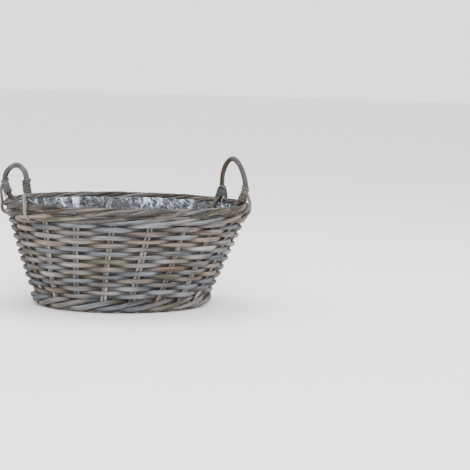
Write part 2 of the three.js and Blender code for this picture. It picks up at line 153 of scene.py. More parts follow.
# Shares of the colours in each kind of piece
STAKE_MIX = {"pale": 5, "ash": 3, "slate": 1.5, "tan": 1.5}
BORDER_MIX = {"ash": 3, "tan": 2.2, "slate": 1.6, "olive": 1.2, "rose": 1.5, "rust": 0.6, "bark": 2.4}
CORE_MIX = {"bark": 3, "ash": 1}
WEAVER_MIX = {"ash": 4, "slate": 3.4, "pale": 3, "tan": 1.5, "rose": 1.4, "olive": 0.3, "rust": 0.2}
WALE_MIX = {"slate": 4, "ash": 3.5, "pale": 2, "tan": 0.9, "rose": 0.6, "olive": 0.6}
BASE_MIX = {"ash": 4, "tan": 2, "slate": 2, "bark": 1.5, "pale": 1}
HANDLE_MIX = {"ash": 8, "slate": 2, "olive": 1}
TAIL_MIX = {"pale": 3, "rose": 1}
BINDING_MIX = {"slate": 3, "ash": 4, "pale": 1.5}


# ---- The wall: an oval that flares from the foot to the rim ----

class Wall:
    """Places on the wall, by angle round the basket, height, and distance out of the wall."""

    def __init__(self, scene):
        self.size = scene.basket_wall
        self.rods = scene.basket_rods
        self.border_height = self.size.rim_height - self.rods.border_reach - self.rods.stake / 2
        self.border_half = self.rods.border_reach + self.rods.stake / 2

    def level(self, z):
        return np.clip(z, 0, self.border_height) / self.border_height

    def oval(self, z):
        """Half length, half width and place along X of the ring of stakes at a height."""
        size = self.size
        flare = self.level(z) ** size.flare
        foot_a, foot_b = size.foot_length / 2, size.foot_width / 2
        rim_a = size.rim_length / 2 - self.border_half
        rim_b = size.rim_width / 2 - self.border_half
        a = foot_a + (rim_a - foot_a) * flare
        b = foot_b + (rim_b - foot_b) * flare
        return a, b, -size.foot_setback * (1 - self.level(z))

    def ring(self, t, z):
        a, b, shift = self.oval(z)
        return np.stack([shift + a * np.cos(t), b * np.sin(t), z + 0 * t], axis=-1)

    def speed(self, t, z):
        """Metres along the ring for each radian."""
        a, b, _ = self.oval(z)
        return np.hypot(a * np.sin(t), b * np.cos(t))

    def level_normal(self, t, z):
        a, b, _ = self.oval(z)
        return unit(np.stack([b * np.cos(t), a * np.sin(t), 0 * t], axis=-1))

    def normal(self, t, z):
        step = 0.5 * MM
        up = self.ring(t, z + step) - self.ring(t, z - step)
        along = np.cross(np.array([0.0, 0.0, 1.0]), self.level_normal(t, z))
        return unit(np.cross(along, up))

    def on(self, t, z, out):
        """(points, outward directions) a distance out of the sloping wall."""
        t, z, out = np.broadcast_arrays(*(np.asarray(v, float) for v in (t, z, out)))
        normal = self.normal(t, z)
        return self.ring(t, z) + normal * out[..., None], normal

    def beside(self, t, z, out):
        """(points, outward directions) a level distance out of the ring of stakes at the rim."""
        t, z, out = np.broadcast_arrays(*(np.asarray(v, float) for v in (t, z, out)))
        rim = self.border_height + 0 * z
        normal = self.level_normal(t, rim)
        point = self.ring(t, rim) + normal * out[..., None]
        point[..., 2] = z
        return point, normal

    def stake_angle(self, k, z):
        """Angle of stake k at a height. Fractions of k lie between two stakes."""
        turn = 2 * math.pi / STAKE_PAIRS
        return self.size.first_stake + turn * k - self.size.stake_lean * (1 - self.level(z))


def unit(vectors):
    return vectors / np.maximum(np.linalg.norm(vectors, axis=-1, keepdims=True), 1e-12)


def smoothstep(x):
    x = np.clip(x, 0, 1)
    return x * x * (3 - 2 * x)


def sway(rng, x, waves=(2, 3, 5, 7)):
    """A smooth wobble from -1 to 1 that repeats when x grows by 1."""
    total = sum(np.sin(2 * math.pi * (n * x + rng.random())) / n ** 0.5 for n in waves)
    return total / sum(1 / n ** 0.5 for n in waves)


def by_stake(values, stake):
    """Values given at whole stakes, eased from one to the next."""
    low = np.clip(np.floor(stake).astype(int), 0, len(values) - 2)
    share = smoothstep(stake - low)
    return values[low] * (1 - share) + values[low + 1] * share


def run_along(path):
    """How far along a path each of its points lies."""
    return np.concatenate([[0], np.cumsum(np.linalg.norm(np.diff(path, axis=0), axis=1))])


def through(corners, step):
    """A smooth path through corners, with points about step apart."""
    p = np.asarray(corners, float)
    p = np.vstack([2 * p[0] - p[1], p, 2 * p[-1] - p[-2]])
    gap = np.linalg.norm(np.diff(p, axis=0), axis=1)[:, None]
    slope = np.diff(p, axis=0) / gap
    velocity = (slope[:-1] * gap[1:] + slope[1:] * gap[:-1]) / (gap[:-1] + gap[1:])
    stretch = []
    for i in range(len(velocity) - 1):
        a, b, d = p[i + 1], p[i + 2], gap[i + 1]
        u = np.linspace(0, 1, max(3, math.ceil(d[0] / step * 4)), endpoint=False)[:, None]
        stretch.append(
            a * (1 + 2 * u) * (1 - u) ** 2 + velocity[i] * d * u * (1 - u) ** 2
            + b * u * u * (3 - 2 * u) + velocity[i + 1] * d * u * u * (u - 1))
    path = np.vstack([*stretch, p[-2]])
    along = run_along(path)
    even = np.linspace(0, along[-1], max(3, round(along[-1] / step) + 1))
    return np.stack([np.interp(even, along, path[:, i]) for i in range(3)], axis=1)


def carried(tangents, first_out):
    """Outward directions carried along a path without twisting."""
    out = unit(first_out - tangents[0] * (first_out @ tangents[0]))
    outs = [out]
    for tangent in tangents[1:]:
        out = unit(out - tangent * (out @ tangent))
        outs.append(out)
    return np.array(outs)


# ---- Rods ----

class Bundle:
    """Rods gathered into one piece. Each keeps its own tones and its own grain."""

    def __init__(self, seed, colours):
        self.rng = np.random.default_rng(seed)
        self.colours = colours
        self.points, self.quads, self.ends, self.tones, self.grain = [], [], [], [], []
        self.count = 0

    def tones_along(self, along, mix, patch):
        """Colours along a rod, in patches that run softly into each other."""
        names = list(mix)
        share = np.array([mix[name] for name in names], float)
        anchors = math.ceil(along[-1] / patch) + 2
        home = self.rng.choice(len(names), p=share / share.sum())
        picks = self.rng.choice(len(names), anchors, p=share / share.sum())
        picks = np.where(self.rng.random(anchors) < 0.3, home, picks)
        shades = np.array([getattr(self.colours, names[i])[:] for i in picks])
        shades *= self.rng.uniform(0.62, 1.32, (anchors, 1))
        spot = along / patch + self.rng.random()
        low = np.clip(np.floor(spot).astype(int), 0, anchors - 2)
        share = smoothstep((spot - low - 0.3) / 0.4)[:, None]
        return shades[low] * (1 - share) + shades[low + 1] * share

    def rod(self, path, outs, thickness, height, mix, patch=0.05, sides=12, shade_and_tone=1.0, edge=0.4,
            blunt=0.72):
        """A rod with an oval section: thickness lies along outs, height across them.

        A darkening factor multiplies its tones, place by place: on weavers and wales it is painted
        shade where the rod passes behind the stakes; on other pieces it is a plain darker tone. Edge
        paints shade along the lines where it touches the rods above and below. Gives its tones before
        that painted edge shade.
        """
        path = np.asarray(path, float)
        count = len(path)
        tangents = unit(np.gradient(path, axis=0))
        outs = carried(tangents, outs) if np.ndim(outs) == 1 else outs
        across = unit(np.cross(tangents, outs))
        outs = np.cross(across, tangents)
        along = run_along(path)
        half = np.stack([thickness + 0 * along, height + 0 * along], axis=1) / 2
        lumps = 1 + 0.035 * np.sin(along * self.rng.uniform(90, 150) + self.rng.random() * 6)
        half = half * lumps[:, None]
        half[[0, -1]] *= blunt
        around = 2 * math.pi * np.arange(sides) / sides
        cos, sin = np.cos(around), np.sin(around)
        ring = (path[:, None] + outs[:, None] * (half[:, :1] * cos)[..., None]
                + across[:, None] * (half[:, 1:] * sin)[..., None])
        self.skin(ring)
        # Darkening factor: painted shade where it follows the rod's place in the weave, a plain
        # darker tone where it is even
        tones = self.tones_along(along, mix, patch) * (shade_and_tone + 0 * along)[:, None]
        # Painted shade on the top and bottom of the section, where it meets the rods above and below
        painted_seam_shade = np.tile(1 - edge * np.abs(sin) ** 4, count)[:, None]
        self.tones.append(np.repeat(tones, sides, axis=0) * painted_seam_shade)
        seat = self.rng.uniform(0, 40)
        grain = np.stack([
            np.repeat(along + seat, sides),
            (half[:, :1] * cos).ravel(), (half[:, 1:] * sin).ravel() + seat], axis=1)
        self.grain.append(grain)
        return tones

    def skin(self, rings):
        """Faces between rings of points, and one at each end."""
        count, sides = rings.shape[:2]
        grid = self.count + np.arange(count * sides).reshape(count, sides)
        nearby = np.roll(grid, -1, axis=1)
        quads = np.stack([grid[:-1], nearby[:-1], nearby[1:], grid[1:]], axis=-1)
        self.quads.append(quads.reshape(-1, 4))
        self.ends += [grid[0, ::-1].tolist(), grid[-1].tolist()]
        self.points.append(rings.reshape(-1, 3))
        self.count += count * sides

    def piece(self, name, finish, slot, *nodes):
        """The bundle as one object that stands for those CAD nodes."""
        mesh = bpy.data.meshes.new(name)
        quads = np.vstack(self.quads)
        mesh.from_pydata(np.vstack(self.points).tolist(), [], quads.tolist() + self.ends)
        smooth = np.ones(len(mesh.polygons), bool)
        smooth[len(quads):] = False
        mesh.polygons.foreach_set("use_smooth", smooth)
        tone = mesh.attributes.new("tone", "FLOAT_COLOR", "POINT")
        tones = np.vstack(self.tones)
        tone.data.foreach_set("color", np.hstack([tones, np.ones((len(tones), 1))]).ravel())
        grain = mesh.attributes.new("grain", "FLOAT_VECTOR", "POINT")
        grain.data.foreach_set("vector", np.vstack(self.grain).ravel())
        mesh.materials.append(finish)
        return placed(name, mesh, slot, *nodes)


def placed(name, mesh, slot, *nodes):
    """A mesh as one piece on the basket's only body, in place of those CAD nodes."""
    piece = bpy.data.objects.new(name, mesh)
    bpy.context.scene.collection.objects.link(piece)
    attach(piece, "root")
    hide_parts(*nodes)
    return piece


# ---- Finishes ----

# How fine the marks on willow are, along and across a rod
FIBRES = (38, 900)
STREAKS = (24, 330)
PATCHES = (45, 160)
SPECKS = (420, 700)

LIME_WASH = (0.20, 0.205, 0.21, 1.0)
STAIN = (0.028, 0.023, 0.019, 1.0)
DARK_SPECK = (0.016, 0.014, 0.012, 1.0)


class Nodes:
    """Adds shader nodes and joins their sockets in one call."""

    def __init__(self, name):
        self.material = bpy.data.materials.get(name) or bpy.data.materials.new(name)
        self.material.use_nodes = True
        self.tree = self.material.node_tree
        self.tree.nodes.clear()

    def add(self, kind, settings=None, **inputs):
        node = self.tree.nodes.new(kind)
        for key, value in (settings or {}).items():
            setattr(node, key, value)
        for key, value in inputs.items():
            self.feed(node, key.replace("_", " "), value)
        return node

    def feed(self, node, socket, value):
        target = node.inputs[int(socket)] if socket.isdigit() else node.inputs[socket]
        if isinstance(value, bpy.types.NodeSocket):
            self.tree.links.new(value, target)
        else:
            target.default_value = value

    def mix(self, factor, a, b, blend="MIX"):
        node = self.add("ShaderNodeMix", {"data_type": "RGBA", "blend_type": blend})
        for index, value in ((0, factor), (6, a), (7, b)):
            self.feed(node, str(index), value)
        return node.outputs[2]

    def ramp(self, factor, low, high, dark=0.0, light=1.0):
        node = self.add("ShaderNodeMapRange", {"clamp": True}, Value=factor)
        for index, value in ((1, low), (2, high), (3, dark), (4, light)):
            node.inputs[index].default_value = value
        return node.outputs[0]

    def multiply(self, a, b, clamp=False):
        node = self.add("ShaderNodeMath", {"operation": "MULTIPLY", "use_clamp": clamp})
        self.feed(node, "0", a)
        self.feed(node, "1", b)
        return node.outputs[0]

    def attribute(self, name, output):
        return self.add("ShaderNodeAttribute", {"attribute_name": name}).outputs[output]

    def marks(self, fineness, detail=2.0, roughness=0.5):
        """Noise that runs with a rod's grain."""
        along, across = fineness
        stretched = self.add("ShaderNodeVectorMath", {"operation": "MULTIPLY"})
        self.feed(stretched, "0", self.attribute("grain", "Vector"))
        self.feed(stretched, "1", (along, across, across))
        marks = self.add("ShaderNodeTexNoise", Vector=stretched.outputs[0], Scale=1.0,
                         Detail=detail, Roughness=roughness)
        return marks.outputs["Fac"]

    def surface(self, **inputs):
        shader = self.add("ShaderNodeBsdfPrincipled", **inputs)
        self.add("ShaderNodeOutputMaterial", Surface=shader.outputs[0])
        return self.material


def willow_finish(name, roughness=0.78, lime=0.3, relief=0.5):
    """Weathered willow: grain along the rod, wrinkles, dark specks and pale lime wash."""
    nodes = Nodes(name)
    fibres = nodes.marks(FIBRES, detail=4.0, roughness=0.6)
    patches = nodes.marks(PATCHES, detail=3.0, roughness=0.55)
    fine = nodes.ramp(fibres, 0.32, 0.68, 0.55, 1.45)
    broad = nodes.ramp(nodes.marks(STREAKS), 0.32, 0.68, 0.6, 1.4)
    streak = nodes.multiply(fine, broad)
    shade = nodes.add("ShaderNodeCombineColor", Red=streak, Green=streak, Blue=streak)
    colour = nodes.mix(1.0, nodes.attribute("tone", "Color"), shade.outputs[0], "MULTIPLY")
    colour = nodes.mix(nodes.ramp(patches, 0.50, 0.72, 0.0, lime), colour, LIME_WASH)
    colour = nodes.mix(nodes.ramp(patches, 0.46, 0.30, 0.0, 0.45), colour, STAIN)
    specks = nodes.ramp(nodes.marks(SPECKS), 0.64, 0.74, 0.0, 0.55)
    colour = nodes.mix(specks, colour, DARK_SPECK)
    rough = nodes.ramp(patches, 0.3, 0.7, roughness + 0.1, roughness - 0.12)
    bumps = nodes.add("ShaderNodeBump", Strength=relief, Distance=0.4 * MM, Height=fibres)
    return nodes.surface(Base_Color=colour, Roughness=rough, Specular_IOR_Level=0.25,
                         Normal=bumps.outputs[0])


def film_finish(colour):
    """Thin clear film: mostly see-through, milky where it is creased, with sharp glints and painted
    highlights along its creases and streaks.
    """
    nodes = Nodes("clear film")
    crease = nodes.attribute("crease", "Fac")
    place = nodes.add("ShaderNodeTexCoord").outputs["Object"]
    wrinkles = nodes.add(
        "ShaderNodeTexVoronoi", {"feature": "DISTANCE_TO_EDGE"}, Vector=place, Scale=95.0)
    cloud = nodes.add("ShaderNodeTexNoise", Vector=place, Scale=60.0, Detail=3.0)
    height = nodes.ramp(wrinkles.outputs["Distance"], 0.0, 0.35)
    bumps = nodes.add("ShaderNodeBump", Strength=0.8, Distance=1.2 * MM, Height=height)
    # Opacity rises along the creases and streaks: partly the film's milky creases, partly the painted
    # highlights
    milky = nodes.ramp(crease, 0.08, 0.8, 0.34, 0.95)
    patch = nodes.ramp(cloud.outputs["Fac"], 0.4, 0.65, 0.7, 1.2)
    level = nodes.add("ShaderNodeSeparateXYZ", Vector=place).outputs["Z"]
    clearer_below = nodes.ramp(level, 0.105, 0.135, 0.45, 1.0)
    alpha = nodes.multiply(milky, nodes.multiply(patch, clearer_below), clamp=True)
    # Colour: dark and smoky on plain film, pale along the creases and streaks, which are painted
    # highlights
    smoky = (*(0.1 * c for c in colour), 1.0)
    tint = nodes.mix(nodes.ramp(crease, 0.1, 0.8), smoky, (*colour, 1.0))
    return nodes.surface(Base_Color=tint, Roughness=0.14, IOR=1.7, Alpha=alpha,
                         Normal=bumps.outputs[0])


def floor_finish(colour):
    nodes = Nodes("studio floor")
    place = nodes.add("ShaderNodeTexCoord").outputs["Object"]
    mottle = nodes.add("ShaderNodeTexNoise", Vector=place, Scale=6.0, Detail=2.0)
    tint = nodes.mix(mottle.outputs["Fac"], (*colour, 1.0), (*(0.97 * c for c in colour), 1.0))
    return nodes.surface(Base_Color=tint, Roughness=0.9)


# ---- Stakes and border ----

BORDER_TWIST = math.radians(98)    # of the border's rods about its core, for each stake
PAIR_TWIST = math.radians(46)      # from one rod of a pair to the other
LEAD_TWIST = math.radians(-74)     # of the leading rod where it leaves its own stake
TRAILING_END = (2.2, 2.5)          # where the trailing rod is cut, in stakes from its own
LEADING_END = (2.7, 3.0)
STANDING_HEIGHTS = (6, 14, 30, 60, 95, 125, 136)
BEND = ((0.0, 0.2, -8.6), (3.0, 0.8, -6.0), (8.5, 1.4, -4.9))   # mm: along, out, above the core
CORE_RODS = ((0.4, 6.6, 7.6), (6.2, 4.6, 5.8))                  # mm: drop, width, height
STAKE_SIDES = 12


def border_rod(wall, k, trailing, rng):
    """Path of one rod: up the wall, over to the next stakes and round the border's core."""
    core = wall.border_height
    offset = (-1 if trailing else 1) * (wall.rods.stake / 2 + 0.15 * MM)
    heights = np.array(STANDING_HEIGHTS) * MM
    wobble = rng.normal(0, 0.25 * MM, len(heights))
    angles = wall.stake_angle(k, heights)
    standing, _ = wall.on(angles + (offset + wobble) / wall.speed(angles, heights), heights, 0.0)
    share = np.linspace(0.34, rng.uniform(*(TRAILING_END if trailing else LEADING_END)), 18)
    ahead = PAIR_TWIST * smoothstep((share - 0.3) / 0.5) if trailing else 0.0
    twist = LEAD_TWIST + BORDER_TWIST * share + ahead + rng.normal(0, 0.06)
    radius = wall.rods.border_reach + rng.normal(0, 0.25 * MM) + 0.35 * MM * sway(rng, share / 3)
    rim_angle = wall.stake_angle(k + share, core)
    ropes, _ = wall.beside(rim_angle, core + radius * np.sin(twist), radius * np.cos(twist))
    along, outwards, upwards = np.array(BEND).T * MM
    stake = wall.stake_angle(k, core)
    bends, _ = wall.beside(stake + (along + offset) / wall.speed(stake, core),
                           core + upwards, outwards)
    return through(np.vstack([standing, bends, ropes]), 2.5 * MM)


def stand_stake(wall, bundle, k, trailing):
    """One rod of a pair: pale where it stands in the wall, dirty where it is the border."""
    path = border_rod(wall, k, trailing, bundle.rng)
    angle = np.arctan2(path[:, 1] / wall.size.rim_width, path[:, 0] / wall.size.rim_length)
    outs = wall.level_normal(angle, wall.border_height + 0 * angle)
    share = np.linspace(0, 1, len(path))
    thickness = wall.rods.stake * (1 - 0.28 * smoothstep((share - 0.8) / 0.2))
    rolled = smoothstep((path[:, 2] - wall.border_height + 8 * MM) / (6 * MM))
    tones = bundle.rod(path, outs, thickness, thickness * (1 + 0.12 * rolled), BORDER_MIX,
                       patch=0.09, sides=STAKE_SIDES, shade_and_tone=0.48 if trailing else 0.66, edge=0.6)
    pale = bundle.tones_along(share * 0.3, STAKE_MIX, 0.08)
    standing = path[:, 2] < wall.border_height - 11 * MM
    mixed = np.where(standing[:, None], pale, tones)
    bundle.tones[-1] = np.repeat(mixed, STAKE_SIDES, axis=0)


def fill_border(wall, bundle, k):
    """Dark rods inside the border, from one stake to the next."""
    angle = wall.stake_angle(k + np.linspace(-0.02, 1.02, 24), wall.border_height)
    for drop, width, height in CORE_RODS:
        path, outs = wall.beside(angle, wall.border_height - drop * MM, 0.0)
        bundle.rod(path, outs, width * MM, height * MM, CORE_MIX, patch=0.06, sides=10)


def weave_stakes(context):
    wall = Wall(context.scene)
    finish = willow_finish("stake willow", lime=0.25)
    for k in range(STAKE_PAIRS):
        bundle = Bundle(100 + k, context.scene.basket_colours)
        for trailing in (False, True):
            stand_stake(wall, bundle, k, trailing)
        fill_border(wall, bundle, k)
        number = f"{k + 1:02d}"
        bundle.piece(f"stakes_{number}", finish, "willow_stakes", f"stake_pair_{number}")


# ---- Randing ----

END_OVERLAP = 0.16                 # how far a weaver's ends pass the stake they meet at, in stakes
INNER_CREST = 1.53                 # height behind a stake, to the height in front of it
DRIFT = ((2, 0.5), (3, 0.4), (5, 0.25), (8, 0.2))   # waves round the basket, and their mm


def run_weaver(wall, bundle, row, phases):
    """One weaver, in front of one stake pair and behind the next, once round the basket."""
    rods, rng = wall.rods, bundle.rng
    pitch = (rods.rows_top - rods.rows_bottom) / ROW_COUNT
    z = rods.rows_bottom + pitch * (row + 0.5)
    first = 2 * ((row * 3) % (STAKE_PAIRS // 2)) + (row + 1) % 2
    stake = np.arange(first - END_OVERLAP, first + STAKE_PAIRS + END_OVERLAP, 0.06)
    t = wall.stake_angle(stake, z)
    turned = (stake - first) / STAKE_PAIRS
    passing = np.cos(math.pi * (stake - row))
    reach = (rods.stake + rods.weaver) / 2 + 0.15 * MM
    out = reach * np.tanh(0.9 * passing) / math.tanh(0.9)
    out = out + 0.4 * MM * sway(rng, turned, (3, 7, 11, 17))
    drift = sum(np.sin(2 * math.pi * (n * t / (2 * math.pi) + phase)) * size
                for (n, size), phase in zip(DRIFT, phases))
    shift = rng.normal(0, 0.5 * MM, STAKE_PAIRS + 3)
    lift = drift * MM + by_stake(shift, stake - first + 1)
    tuck = 1 - smoothstep(np.minimum(stake - stake[0], stake[-1] - stake) / 0.6)
    lift += np.where(stake < first + 2, -1, 1) * 1.0 * MM * tuck
    stout = by_stake(rng.normal(1, 0.10, STAKE_PAIRS + 3), stake - first + 1)
    swell = np.abs(passing) ** np.where(passing > 0, 1.3, 0.8)
    crest = rods.weaver_height * np.where(passing > 0, stout, INNER_CREST)
    height = rods.weaver_waist + (crest - rods.weaver_waist) * swell
    path, outs = wall.on(t, z + lift, out - 0.5 * MM * tuck)
    path[:, 2] -= 1.1 * outs[:, 2] * out
    # Painted shade: the weaver's tones darken where it crosses over to pass behind a stake
    front = smoothstep((passing + 0.3) / 0.9)
    bundle.rod(path, outs, rods.weaver * (0.86 + 0.14 * swell), height, WEAVER_MIX,
               patch=0.07, shade_and_tone=0.5 + 0.5 * front)


def weave_randing(context):
    wall = Wall(context.scene)
    finish = willow_finish("weaver willow")
    phases = np.random.default_rng(7).random(len(DRIFT))
    for row in range(ROW_COUNT):
        bundle = Bundle(200 + row, context.scene.basket_colours)
        run_weaver(wall, bundle, row, phases)
        number = f"{row + 1:02d}"
        bundle.piece(f"weaver_{number}", finish, "willow_weavers", f"weaver_row_{number}")


# ---- Wales ----

# One rod's course over three stakes, by half stakes: its place out from the stakes (-1
# behind, 1 in front, 2 over its neighbour) and its level (-1 low, 1 high)
WALE_COURSE = [(-1, 0), (0, -1), (1, -1), (2, 0), (1, 1), (0, 1)]
WALE_GAP = 0.5 * MM


def around_course(values, x):
    """Smooth values of a repeating course at fractional places."""
    values = np.asarray(values, float)
    low = np.floor(x).astype(int)
    u = x - low
    p = [values[(low + i) % len(values)] for i in (-1, 0, 1, 2)]
    return (p[1] + 0.5 * u * (p[2] - p[0] + u * (
        2 * p[0] - 5 * p[1] + 4 * p[2] - p[3] + u * (3 * (p[1] - p[2]) + p[3] - p[0]))))


def weave_wale(context, name, seed, mix, base, thickness, height, rise, slack, stout):
    """Three strands that pass before two stakes and behind one, each over the one ahead."""
    wall = Wall(context.scene)
    finish = willow_finish("wale willow", lime=0.35)
    reach = (wall.rods.stake + thickness) / 2 + slack
    middle = base + height + WALE_GAP / 2
    last_stakes = [STAKE_PAIRS + 1, STAKE_PAIRS + 2, STAKE_PAIRS]
    for i in range(WALE_RODS):
        bundle = Bundle(seed + i, context.scene.basket_colours)
        half = np.arange(2 * i + 0.04, 2 * last_stakes[i] - 0.04, 0.14)
        place = around_course([p for p, _ in WALE_COURSE], half - 2 * i)
        level = around_course([v for _, v in WALE_COURSE], half - 2 * i)
        out = np.where(place > 1, reach + rise * (place - 1), place * reach)
        turned = half / (2 * STAKE_PAIRS)
        z = middle + level * (height + WALE_GAP) / 2 + 0.5 * MM * sway(bundle.rng, turned)
        path, outs = wall.on(wall.stake_angle(half / 2, z), z, out)
        front = smoothstep(place)
        swell = stout + 0.1 * front + 0.4 * smoothstep(-place)
        swell = swell * (1 + 0.08 * sway(bundle.rng, turned, (6, 11, 17)))
        # Painted shade: the rod's tones darken where it passes behind a stake
        bundle.rod(path, outs, thickness * (0.9 + 0.1 * front), height * swell, mix, patch=0.07,
                   shade_and_tone=0.45 + 0.55 * smoothstep(place + 0.4))
        bundle.piece(f"{name}_rod_{i + 1}", finish, "willow_wales", f"{name}_{i + 1:02d}")


def weave_foot_wale(context):
    weave_wale(context, "foot_wale", 300, WALE_MIX, base=5.6 * MM, thickness=5.4 * MM,
               height=7.2 * MM, rise=1.6 * MM, slack=1.0 * MM, stout=1.0)


def weave_rim_wale(context):
    weave_wale(context, "rim_wale", 310, BORDER_MIX, base=132.4 * MM, thickness=4.4 * MM,
               height=5.0 * MM, rise=1.2 * MM, slack=0.6 * MM, stout=1.15)


# ---- Base ----

BASE_ROWS = 15
BASE_EYE = 34 * MM                 # half length of the twining's first turn
TWINING = (3.4 * MM, 4.6 * MM * 1.1)
TWINING_WAVE = 1.7 * MM
EDGE_RINGS = ((-4.2, 3.0), (1.4, 3.6))   # mm: out from the stakes, lowest height of a rod's centre
EDGE_THICKNESS = 5.6 * MM


def lay_sticks(context):
    finish = willow_finish("base willow", lime=0.12)
    for node in sorted(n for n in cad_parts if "_stick_" in n):
        low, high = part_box(node)
        middle, size = (low + high) / 2, high - low
        bundle = Bundle(sum(map(ord, node)), context.scene.basket_colours)
        lengthwise = size.x > size.y
        run, width = (size.x, size.y) if lengthwise else (size.y, size.x)
        direction = np.array([1.0, 0, 0]) if lengthwise else np.array([0, 1.0, 0])
        s = np.linspace(-run / 2, run / 2, 40)[:, None]
        bow = 0.4 * MM * np.sin(s * 31 + len(node))
        path = np.array(middle) + direction * s + np.array([0, 0, 1.0]) * bow
        outs = np.tile([0, 0, 1.0], (len(path), 1))
        taper = 1 - 0.25 * np.abs(s[:, 0] / run * 2) ** 3
        bundle.rod(path, outs, size.z * taper, width * taper, BASE_MIX, patch=0.06)
        bundle.piece(f"{node}_rod", finish, "willow_base", node)


def twine_row(wall, bundle, row, twin, centre_x):
    """One rod of a row that twists over and under the sticks."""
    a, b, _ = wall.oval(0.0)
    share = (row + 0.6) / BASE_ROWS
    t = np.linspace(0, 2 * math.pi, 60 + 14 * row)
    along = BASE_EYE + (a - 8 * MM - BASE_EYE) * share
    across = (b - 8 * MM) * share
    wave = np.sin(7 * t + math.pi * (row + twin)) * TWINING_WAVE
    x = centre_x + along * np.cos(t + 0.1 * row)
    y = across * np.sin(t + 0.1 * row)
    z = 5.6 * MM + wave + 0.3 * MM * sway(bundle.rng, t / (2 * math.pi))
    path = np.stack([x, y, z], axis=1)
    outs = np.tile([0, 0, 1.0], (len(path), 1))
    bundle.rod(path, outs, *TWINING, BASE_MIX, patch=0.05, sides=8)


def twist_edge(wall, bundle, ring, twin):
    """One of two rods twisted round each other at the base's edge."""
    out, z = EDGE_RINGS[ring]
    t = np.linspace(0, 2 * math.pi, 420) + ring + twin
    twist = math.pi * (14 * t / (2 * math.pi) * 2 + twin)
    height = z * MM + 0.9 * MM * np.sin(twist) + 0.9 * MM
    path, outs = wall.on(t, height, out * MM + 1.4 * MM * np.cos(twist))
    bundle.rod(path, outs, 0.85 * EDGE_THICKNESS, 0.8 * EDGE_THICKNESS, BASE_MIX, patch=0.06,
               sides=10, shade_and_tone=0.7)


def weave_base(context):
    """Pairs of rods twined round the sticks, and a stout edge that the basket stands on."""
    wall = Wall(context.scene)
    low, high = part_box("base_mat")
    bundle = Bundle(400, context.scene.basket_colours)
    for row in range(BASE_ROWS):
        for twin in (0, 1):
            twine_row(wall, bundle, row, twin, (low.x + high.x) / 2)
    for ring in range(len(EDGE_RINGS)):
        for twin in (0, 1):
            twist_edge(wall, bundle, ring, twin)
    bundle.piece("base_weave", willow_finish("base willow", lime=0.12), "willow_base", "base_mat")


# ---- Film liner ----

FILM_COLUMNS = 640
FLOOR_RINGS = 16
WALL_RINGS = 78
DEEPEST_FOLD = 4.0 * MM


def film_pleats(t, rise):
    """Folds that run up the wall."""
    wide = np.abs(np.sin(17 * t + 1.3 * np.sin(3 * t) + 1.1 * rise)) ** 3
    narrow = np.abs(np.sin(29 * t - 2.1 * rise + np.sin(5 * t))) ** 4
    return wide + 0.7 * narrow


def film_crumple(point, angle):
    """(push inwards in mm, painted crease highlight, painted highlight streak) at one place of the
    crumpled film.
    """
    spot = Vector(point)
    stretched = Vector((spot.x, spot.y, spot.z * 0.5))
    near = noise.voronoi(stretched * 42)[0]
    fine = noise.voronoi(stretched * 105 + Vector((3, 5, 7)))[0]
    edge, small = near[1] - near[0], fine[1] - fine[0]
    push = 1.9 * min(edge, 0.9) + 0.75 * min(small, 0.9)
    # Painted highlights: bright lines along the creases, strongest where the glint noise is high
    glint = 0.3 + 2.2 * max(0.0, noise.noise(spot * 17 + Vector((0, 9, 4))) + 0.15)
    crease = glint * (max(0.0, 1 - edge / 0.11) + 0.5 * max(0.0, 1 - small / 0.18))
    around = 150 * MM * angle
    # Painted highlight streaks: thin slanting lines, gathered in clusters
    slant = Vector((around + 0.9 * spot.z, 9 * (spot.z - 0.55 * around), 4.0)) * 34
    cluster = smoothstep(3.5 * noise.noise(Vector((around * 11, spot.z * 14, 2.0))) + 0.35)
    return push, crease, cluster * max(0.0, 1 - abs(noise.noise(slant)) / 0.16)


def film_ring(wall, t, share, z, rise, room):
    """(points, painted highlights) of one ring of the film. Its share is 1 on the wall, less on the
    floor.
    """
    a, b, shift = wall.oval(z)
    on_wall = share == 1
    at_foot = smoothstep((26 * MM - z) / (10 * MM))
    inset = 9.2 * MM + 4.2 * MM * at_foot + (0 if on_wall else 3 * MM)
    flat = np.stack([shift + share * (a - inset) * np.cos(t),
                     share * (b - inset) * np.sin(t), z + 0 * t], axis=1)
    down = np.tile([0, 0, -1.0], (len(t), 1))
    normal = wall.level_normal(t, z + 0 * t) if on_wall else down
    pleat = film_pleats(t, rise)
    push, crease, streak = np.array([film_crumple(*spot) for spot in zip(flat, t)]).T
    depth = np.minimum((push + 0.9 * pleat * rise) * room * MM, DEEPEST_FOLD)
    depth = depth * (1 if on_wall else 0.5)
    points = flat - normal * (depth - 1.6 * MM * on_wall)[:, None]
    # Painted highlights along the creases, streaks and pleats, fainter towards the floor
    bright = 0.8 * crease + 0.9 * streak + 0.06 * pleat ** 3
    return points, np.clip(bright * (0.05 + 0.95 * rise ** 4), 0, 1)


def film_mesh(points, crease_glints):
    """Rings of points joined into one skin, closed at its middle."""
    grid = np.arange(len(points) * FILM_COLUMNS).reshape(len(points), FILM_COLUMNS)
    nearby = np.roll(grid, -1, axis=1)
    quads = np.stack([grid[:-1], grid[1:], nearby[1:], nearby[:-1]], axis=-1).reshape(-1, 4)
    mesh = bpy.data.meshes.new("film")
    mesh.from_pydata(np.vstack(points).tolist(), [], quads.tolist() + [grid[0].tolist()])
    mesh.polygons.foreach_set("use_smooth", np.ones(len(mesh.polygons), bool))
    # The painted highlights, kept for the film's finish
    crease = mesh.attributes.new("crease", "FLOAT", "POINT")
    crease.data.foreach_set("value", np.concatenate(crease_glints))
    return mesh


